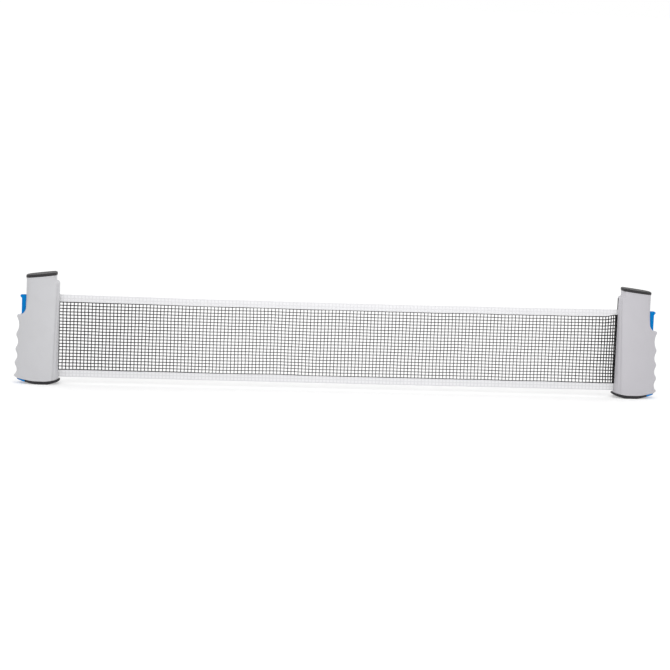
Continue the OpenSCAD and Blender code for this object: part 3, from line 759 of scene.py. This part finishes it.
# ---------- Parts used as they are turned or moulded ----------
# Base pads of black rubber glued in under the shells, zinc-plated self-tapping screws from the
# back, the reel's fixed steel shaft with its spring, core tube and flanged bushes, and the rod
# that holds the net's far end.
pad_rubber = moulded("black pad rubber", (34, 33, 35), (60, 58, 60), 700, 0.00015, 0.7, 0.5, 0.3)
zinc = drawn("zinc plate", (176, 178, 182), (140, 140, 142), 0.3, 500)
steel_rod = drawn("drawn steel rod", (172, 173, 176), (138, 138, 140), 0.28)
core_grey = moulded("grey core tube", (150, 150, 152), (132, 131, 133), 1000, 0.00005, 0.45, 0.4)
bush_black = moulded("black bush acetal", (46, 45, 47), (62, 61, 62), 1200, 0.00004, 0.4, 0.3)
for material, names in (
        (pad_rubber, ("left_base_pad", "right_base_pad")),
        (zinc, ("left_screws", "right_screws")),
        (steel_rod, ("reel_shaft", "net_anchor_rod")),
        (spring_steel, ("reel_spring",)), (core_grey, ("reel_core",)),
        (bush_black, ("reel_bushes",))):
    for name in names:
        for material_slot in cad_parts[name].material_slots:
            material_slot.material = material


# ---------- Net ----------
# A knotless net of black polyester: strands that run through one another where they cross, in
# meshes about 6 mm square. It comes off the reel, through the left slot and across to the rod
# in the right post. It is held in the two tapes by their stitching.
NET_SPAN, NET_Z0, NET_Z1, TAPE_H, SAG = 990.0, 11.5, 157.5, 12.5, 2.2
MESH_PITCH, MESH_ROWS, SEWN_ROWS = 6.306, 22, 2
# radii of a strand, its joints and its ends in the tapes, how far it rises at a crossing, and a
# joint's share of a mesh
THREAD_R, JOINT_R, SEWN_R, CROSS_LIFT, JOINT_SHARE = 0.65, 0.8, 0.2, 0.16, 0.13
# the reel's middle and its roll, and where the net turns towards it inside the slot
REEL_X, ROLL_R, ROLL_GAP, TURN_IN = 31.0, 11.4, 0.55, 4.5
# how far the net is drawn up at the right slot, and the length over which that happens
DRAWN_UP, GATHER_FROM, GATHER_L = 3.4, 22.0, 20.0
# how far the sewn rows lie into a tape, as shares of its height, and how far the outer free rows
# lie off the tapes, as a share of the mesh
SEWN_AT, OUTER_ROW = np.array([0.46, 0.92]), 0.006
wave = np.random.default_rng(41)


def along_net(s, offset=0.0):
    """Place of the net's middle surface s mm past the left slot's mouth, pushed out by offset."""
    s, offset = np.broadcast_arrays(np.asarray(s, float), np.asarray(offset, float))
    r = ROLL_R + ROLL_GAP
    lean = math.acos(r / (NOSE_X - TURN_IN - REEL_X))
    dx, dy = REEL_X + r * math.cos(lean) - (NOSE_X - TURN_IN), -r * math.sin(lean)
    d = math.hypot(dx, dy)
    dx, dy = dx / d, dy / d
    back = np.maximum(-TURN_IN - s, 0.0)
    x = np.maximum(s, -TURN_IN) + back * dx - np.where(back > 0, offset * dy, 0.0)
    # it billows slightly between the posts and runs straight into the slots
    free = np.clip(s / 40, 0, 1) * np.clip((NET_SPAN - s) / 40, 0, 1)
    y = back * dy + offset * np.where(back > 0, -dx, 1.0)
    y = y + free * (0.5 * np.sin(s / 57.0 + 0.8) + 0.12 * np.sin(s / 23.0))
    return x + NOSE_X - POST_X, y


def drape(s):
    """How far the upper tape hangs below its ends."""
    t = np.clip(np.asarray(s, float) / NET_SPAN, 0, 1)
    return SAG * 4 * t * (1 - t) + 0.18 * np.sin(np.asarray(s) / 31.0)


def gathered(s):
    """1 at the right slot, where the net is drawn up, and 0 before it."""
    t = np.clip((np.asarray(s, float) - NET_SPAN + GATHER_FROM) / GATHER_L, 0, 1)
    return t * t * (3 - 2 * t)


def mesh_top(s):
    return NET_Z1 - TAPE_H - drape(s) + DRAWN_UP * gathered(s)


def mesh_foot(s):
    return NET_Z0 + TAPE_H + 0.12 * np.sin(np.asarray(s) / 27.0)


def fullness(s):
    """Strands are drawn thin in mid-span and stay fuller towards the posts."""
    return np.interp(s, (-8, -1, 75, 180, 260, 360, 850, 916, 950, 970, 988, 994),
                     (1.0, 1.38, 1.32, 1.14, 1.03, 1.0, 1.01, 1.1, 1.24, 1.42, 1.55, 1.0))


def strands(lines, radii, across, sides=5):
    """Round strands through rows of points, closed at their ends."""
    n, m = lines.shape[:2]
    turn = 2 * np.pi * np.arange(sides) / sides
    ring = np.zeros((sides, 3))
    ring[:, 1] = np.cos(turn)
    ring[:, 2 if across else 0] = np.sin(turn)
    if not across:
        ring[:, 0] *= -1
    points = lines[:, :, None, :] + radii[:, :, None, None] * ring[None, None]
    index = np.arange(n * m * sides).reshape(n, m, sides)
    a, b = index[:, :-1], index[:, 1:]
    quads = np.stack((a, b, np.roll(b, -1, 2), np.roll(a, -1, 2)), -1).reshape(-1, 4)
    ends = np.concatenate((index[:, 0], index[:, -1, ::-1]))
    return points.reshape(-1, 3), quads.tolist() + ends.tolist()


def stretches(made, s):
    """Works out even places along the net for the piece's points, s being each point's place along
    it, bakes the object's transform into the mesh, and puts the points back where they were.
    """
    mesh = made.data
    rest = np.array([v.co for v in mesh.vertices])
    share = np.clip(np.asarray(s) / NET_SPAN, 0, 1)
    # undoes the smooth blend between the posts, so that the places come out even
    eased = 0.5 - np.sin(np.arcsin(1 - 2 * share) / 3)
    moved = rest.copy()
    moved[:, 0] = (eased - 0.5) * NET_SPAN * MM
    mesh.vertices.foreach_set("co", moved.ravel())
    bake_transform(made)
    mesh.vertices.foreach_set("co", rest.ravel())
    mesh.update()


# places of the columns, closer together where the net is drawn up at the right slot
columns = np.arange(-3, 155) * MESH_PITCH
drawn_in = NET_SPAN - np.array([25.6, 20.2, 15.2, 10.5, 6.1, 2.6, 0.7, -1.1, -3.0])
columns = np.concatenate((columns[columns < NET_SPAN - 27], drawn_in))
rows = np.arange(-SEWN_ROWS, MESH_ROWS + SEWN_ROWS)
share = OUTER_ROW + (1 - 2 * OUTER_ROW) * np.arange(MESH_ROWS)[None, :] / (MESH_ROWS - 1)


def uneven(size, reach):
    """Smooth random unevenness of the crossings, size mm, alike over reach meshes."""
    rough = wave.normal(0, 1, (len(columns) + 2 * reach, len(rows) + 2 * reach))
    smooth = sum(rough[i:i + len(columns), j:j + len(rows)]
                 for i in range(2 * reach + 1) for j in range(2 * reach + 1))
    return smooth / smooth.std() * size


shift = uneven(0.22, 5) + uneven(0.06, 1)
rise = uneven(0.2, 5) + uneven(0.05, 1)
cross_s = columns[:, None] + shift
low, high = mesh_foot(columns)[:, None], mesh_top(columns)[:, None]
drawn_up = DRAWN_UP * gathered(columns)[:, None]
in_mesh = low + (high - drawn_up - low) * share + drawn_up * share ** 3
in_foot = low - (low - NET_Z0) * SEWN_AT[::-1][None, :]
in_head = high + (NET_Z1 - drape(columns)[:, None] - high) * SEWN_AT[None, :]
cross_z = np.hstack((in_foot, in_mesh, in_head)) + rise
weave_side = np.where((np.arange(len(columns))[:, None] + rows[None, :]) % 2, 1, -1)
sewn = (rows < 0) | (rows >= MESH_ROWS)


def strand_lines(s, z, side, sewn):
    """Points along strands through the crossings, three to a mesh, with their radii."""
    t = np.array([0.0, JOINT_SHARE, 1 - JOINT_SHARE])

    def joined(meshes, last):
        return np.hstack((meshes.reshape(len(s), -1), last))

    def between(ends):
        return joined(ends[:, :-1, None] * (1 - t) + ends[:, 1:, None] * t, ends[:, -1:])

    flat = np.broadcast_to(sewn, s.shape)
    here, there = flat[:, :-1, None], flat[:, 1:, None]
    thin = (here & there) | ((here | there) & (t > 0)) | (here & (t == 0))
    radii = joined(np.where(thin, SEWN_R, np.array([JOINT_R, THREAD_R, THREAD_R])),
                   np.where(flat[:, -1:], SEWN_R, JOINT_R))
    lift = joined(side[:, :-1, None] * np.array([1, 0.45, -0.45]), side[:, -1:])
    along, up = between(s), between(z)
    free = radii != SEWN_R
    return along, up, lift * CROSS_LIFT * free, radii * np.where(free, fullness(along), 1.0)


points, faces, stations = [], [], []
for across in (True, False):
    if across:
        lines = strand_lines(cross_s.T, cross_z.T, weave_side.T, sewn[:, None])
    else:
        lines = strand_lines(cross_s, cross_z, -weave_side, sewn[None, :])
    along, up, lift, radii = lines
    x, y = along_net(along, lift)
    more, quads = strands(np.stack((x, y, up), -1), radii, across)
    faces += [tuple(i + len(points) for i in f) for f in quads]
    points += more.tolist()
    stations += np.repeat(along.ravel(), 5).tolist()
net = piece("knotless_net", np.array(points) * MM, faces, smooth=70)


def bands(tree, where, scale, direction, given=None):
    return node(tree, "TexWave", {"Vector": where, "Scale": scale, **(given or {})},
                bands_direction=direction).outputs["Fac"]


def braiding(tree, where, given):
    """The ribs of a braided strand and the fuzz that greys it."""
    fuzz = noise(tree, where, 260, 4)
    return {"Colour": mixed(tree, fuzz, given["Colour"], given["Fuzz colour"]),
            "Height": bands(tree, where, given["Ribs per metre"], "DIAGONAL",
                            {"Distortion": 2.0})}


BRAID = effect("braid", {
    "Colour": (0.1, 0.1, 0.1, 1), "Fuzz colour": (0.2, 0.2, 0.2, 1), "Ribs per metre": 1500.0},
    braiding)


def braided(name, colour, fuzz, ribs, relief, roughness, sheen):
    return finished(name, BRAID, relief, {
        "Colour": linear(colour), "Fuzz colour": linear(fuzz), "Ribs per metre": ribs},
        {"Roughness": roughness, "Sheen Weight": sheen, "Specular IOR Level": 0.3})


net_black = braided("black polyester strand", (12, 12, 15), (28, 27, 30), 520, 0.00005, 0.75, 0.0)
net.data.materials.append(net_black)
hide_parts("net_mesh")
stretches(net, stations)


# ---------- Tapes ----------
# White woven polyester tape, 25 mm wide, folded in half over the net's upper and lower edge. It
# puckers a little along its two rows of lock stitch and goes on to the reel with the net.
TAPE_T, TAPE_HALF, FOLD_R, TAPE_FROM, NET_TAIL = 0.2, 0.55, 0.5, -24.0, 5.7
STITCH_ROWS, STITCH_PITCH, STITCH_L, STITCH_R = (1.9, 4.8), 3.1, 2.5, 0.17
# pitch of the net's rows where they show through a tape
ROW_PITCH = 5.76
tape_s = np.arange(TAPE_FROM, NET_SPAN + NET_TAIL, MESH_PITCH / 4)


def tape_swell(v, height, s):
    """Half thickness of the folded tape v mm from its open edge."""
    over_strand = np.exp(-((s + MESH_PITCH / 2) % MESH_PITCH - MESH_PITCH / 2) ** 2)
    over_row = sum(np.exp(-((v - row * height) / 0.9) ** 2) for row in (0.0, *SEWN_AT))
    swell = TAPE_HALF - 0.08 + 0.16 * np.maximum(over_strand, over_row)
    pull = 0.09 + 0.03 * np.sin(s * 2 * np.pi / STITCH_PITCH)
    for row in STITCH_ROWS:
        swell = swell - pull * np.exp(-((v - row) / 0.5) ** 2)
    return swell


def folded_tape(name, edge, fold):
    """edge and fold are heights along tape_s; the fold may be above or below the open edge."""
    points, stations = [], []
    up = 1 if fold[0] > edge[0] else -1
    for s, z_edge, z_fold in zip(tape_s, edge, fold):
        height = abs(z_fold - z_edge)
        v = np.concatenate((np.linspace(0, 1, 15)[:-1] * (height - FOLD_R),
                            [height - 0.3, height - 0.1]))
        outer = tape_swell(v, height, s) * np.sqrt(np.clip((height - v) / FOLD_R, 0, 1))
        inner = np.maximum(outer - TAPE_T, 0.02)
        vin = np.minimum(v, height - TAPE_T)
        loop = [(-o, a) for o, a in zip(outer, v)] + [(0.0, height)]
        loop += [(o, a) for o, a in zip(outer[::-1], v[::-1])]
        loop += [(i, a) for i, a in zip(inner, vin)] + [(0.0, height - TAPE_T)]
        loop += [(-i, a) for i, a in zip(inner[::-1], vin[::-1])]
        x, y = along_net(np.full(len(loop), s), [q[0] for q in loop])
        points += [(a, b, z_edge + up * q[1]) for a, b, q in zip(x, y, loop)]
        stations += [s] * len(loop)
    m = len(loop)
    n = len(tape_s)
    faces = [(k * m + i, k * m + (i + 1) % m, (k + 1) * m + (i + 1) % m, (k + 1) * m + i)
             for k in range(n - 1) for i in range(m)]
    for base, turned in ((0, True), ((n - 1) * m, False)):
        for i in range(m // 2 - 1):
            quad = (base + i, base + i + 1, base + m - 2 - i, base + m - 1 - i)
            faces.append(tuple(reversed(quad)) if turned else quad)
    return piece(name, np.array(points) * MM, faces, mirrored=up > 0, smooth=60), stations


def stitching(name, edge_at, up):
    """Lock stitches on both faces of a tape."""
    lines, stations = [], []
    # a stitch lies on the tape and dips into it at both ends
    t, lying = np.array([-0.5, -0.3, 0.3, 0.5]), np.array([-0.12, 0.1, 0.1, -0.12])
    for row in STITCH_ROWS:
        for s in np.arange(4.0, NET_SPAN - 3, STITCH_PITCH):
            for face in (-1, 1):
                ss = s + t * STITCH_L
                x, y = along_net(ss, face * (TAPE_HALF - 0.11 + lying))
                lines.append(np.stack((x, y, edge_at(ss) + up * (row + 0.05 * t)), -1))
                stations += np.repeat(ss, 4).tolist()
    lines = np.array(lines)
    points, faces = strands(lines, np.full(lines.shape[:2], STITCH_R), True, sides=4)
    return piece(name, points * MM, [tuple(f) for f in faces], smooth=70), stations


# a wave texture at scale 1 has 10 / pi bands to a metre
BAND_SCALE = math.pi / 10
STRAND_BELOW = (150, 150, 155)


def weaving(tree, where, given):
    """Plain weave of fine yarn, soiled in places, with the net's strands showing through."""
    scale = maths(tree, "MULTIPLY", given["Yarns per metre"], BAND_SCALE)
    yarns = [bands(tree, where, scale, direction, {"Distortion": 0.6, "Detail": 1})
             for direction in ("X", "Z")]
    # the rows under the tape follow its sag
    parts = node(tree, "SeparateXYZ", {0: where}).outputs
    squared = maths(tree, "MULTIPLY", parts["X"], parts["X"])
    level = maths(tree, "SUBTRACT", parts["Z"], maths(tree, "MULTIPLY", squared, given["Sag"]))
    flat = node(tree, "CombineXYZ", {"X": parts["X"], "Z": level}).outputs[0]
    below = [bands(tree, flat, BAND_SCALE / (MESH_PITCH * MM), "X"),
             bands(tree, flat, BAND_SCALE / (ROW_PITCH * MM), "Z",
                   {"Phase Offset": given["Row phase"]})]
    lines = maths(tree, "MAXIMUM", *(maths(tree, "POWER", band, 6.0) for band in below))
    seen = maths(tree, "MULTIPLY", lines, given["Netting"])
    soil = maths(tree, "MULTIPLY", noise(tree, where, 45, 5), given["Soil"])
    tint = mixed(tree, soil, given["Colour"], given["Soil colour"])
    return {"Colour": mixed(tree, seen, tint, linear(STRAND_BELOW)),
            "Height": maths(tree, "MULTIPLY", *yarns)}


WEAVE = effect("weave", {
    "Colour": (0.8, 0.8, 0.8, 1), "Soil colour": (0.6, 0.6, 0.6, 1), "Yarns per metre": 2200.0,
    "Soil": 0.3, "Netting": 0.0, "Sag": 0.0, "Row phase": 0.0}, weaving)


def woven(name, colour, soil_colour, yarns, relief, soil, netting=0.0, sag=0.0, row_phase=0.0):
    return finished(name, WEAVE, relief, {
        "Colour": linear(colour), "Soil colour": linear(soil_colour), "Yarns per metre": yarns,
        "Soil": soil, "Netting": netting, "Sag": sag, "Row phase": row_phase},
        {"Roughness": 0.85, "Sheen Weight": 0.15, "Specular IOR Level": 0.25})


WHITE_YARN = (246, 246, 248), (236, 235, 237), 2200, 0.00007, 0.35
tape_white = woven("white woven tape", *WHITE_YARN)
tape_over_net = {
    "upper": woven("white upper tape", *WHITE_YARN, netting=0.2, sag=0.00898, row_phase=4.45),
    "lower": woven("white lower tape", *WHITE_YARN, netting=0.2, sag=0.0, row_phase=2.094)}
sewing_white = braided("white sewing thread", (240, 240, 242), (226, 226, 228),
                       900, 0.00003, 0.6, 0.1)
for which, node_name, edge_at, fold, up in (
        ("upper", "net_top_tape", mesh_top, NET_Z1 - drape(tape_s), 1),
        ("lower", "net_bottom_tape", mesh_foot, np.full(len(tape_s), NET_Z0) + 0.1, -1)):
    tape, stations = folded_tape(f"{which}_tape", edge_at(tape_s), fold)
    tape.data.materials.append(tape_over_net[which])
    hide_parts(node_name)
    stretches(tape, stations)
    seam, stations = stitching(f"{which}_tape_stitching", edge_at, up)
    seam.data.materials.append(sewing_white)
    stretches(seam, stations)


# ---------- Net on the reel ----------
# The spare net lies wound on the core tube in about thirteen turns, tapes above and below the
# mesh, ready to be drawn out.
ROLL_PITCH, ROLL_T, CORE_R, CORE_GAP, STEPS_PER_TURN = 0.35, 0.28, 6.5, 0.05, 48
# heights across the wound net, and how much thinner the mesh is than the tapes
ROLL_LEVELS = [(NET_Z0 + 0.1, 0.0), (NET_Z0 + TAPE_H, 0.0), (NET_Z0 + TAPE_H + 0.6, -0.06),
               (NET_Z1 - TAPE_H - 0.6, -0.06), (NET_Z1 - TAPE_H, 0.0), (NET_Z1 - 0.1, 0.0)]
turns = (ROLL_R - ROLL_T - CORE_R - CORE_GAP) / ROLL_PITCH
start_angle = -math.acos((ROLL_R + ROLL_GAP) / (NOSE_X - TURN_IN - REEL_X))
rings = []
steps = int(turns * STEPS_PER_TURN)
for k in range(steps + 1):
    turned = 2 * math.pi * turns * k / steps
    c, d = math.cos(start_angle - turned), math.sin(start_angle - turned)
    r = ROLL_R - ROLL_T - ROLL_PITCH * turned / (2 * math.pi)
    ring = [(REEL_X + (r + ROLL_T + g) * c, (r + ROLL_T + g) * d, z) for z, g in ROLL_LEVELS]
    ring += [(REEL_X + (r - g) * c, (r - g) * d, z) for z, g in ROLL_LEVELS[::-1]]
    rings.append(ring)
points, faces = skin(rings)
roll = piece("net_on_reel", place(points, "left"), faces, smooth=50)
roll.data.materials.append(tape_white)
roll.data.materials.append(woven("wound black mesh", (26, 26, 29), (120, 120, 122),
                                 160, 0.0003, 0.5))
for face in roll.data.polygons:
    face.material_index = int(NET_Z0 + TAPE_H < face.center.z / MM < NET_Z1 - TAPE_H)
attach(roll, "reel")
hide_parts("net_roll")


# ---------- Hem at the net's far end ----------
# The net's end is sewn into a hem of the same white tape, which is looped round a steel rod in
# the right post and held by it.
ROD_X, ROD_R, HEM_T, HEM_SLACK, HEM_END = 47.5, 2.0, 0.35, 0.12, 52.5
loop_r = ROD_R + HEM_SLACK + HEM_T / 2
tail = [(HEM_END, 0.24), (HEM_END - 1.2, 0.26), (HEM_END - 2.3, 0.45)]
middle = [(x, -y) for x, y in tail]
middle += [(ROD_X + loop_r * math.cos(a), loop_r * math.sin(a))
           for a in np.radians(np.arange(-38, -323, -9))]
middle += tail[::-1]
rings = []
for k, (x, y) in enumerate(middle):
    (xa, ya), (xb, yb) = middle[max(k - 1, 0)], middle[min(k + 1, len(middle) - 1)]
    d = math.hypot(xb - xa, yb - ya)
    nx, ny = -(yb - ya) / d * HEM_T / 2, (xb - xa) / d * HEM_T / 2
    rings.append([(x + nx, y + ny, NET_Z0 + 0.1), (x - nx, y - ny, NET_Z0 + 0.1),
                  (x - nx, y - ny, NET_Z1 - 0.1), (x + nx, y + ny, NET_Z1 - 0.1)])
points, faces = skin(rings)
hem = piece("net_hem_loop", place(points, "right"), faces, True, smooth=50)
hem.data.materials.append(tape_white)
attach(hem, "right_post")
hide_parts("net_end_hem")
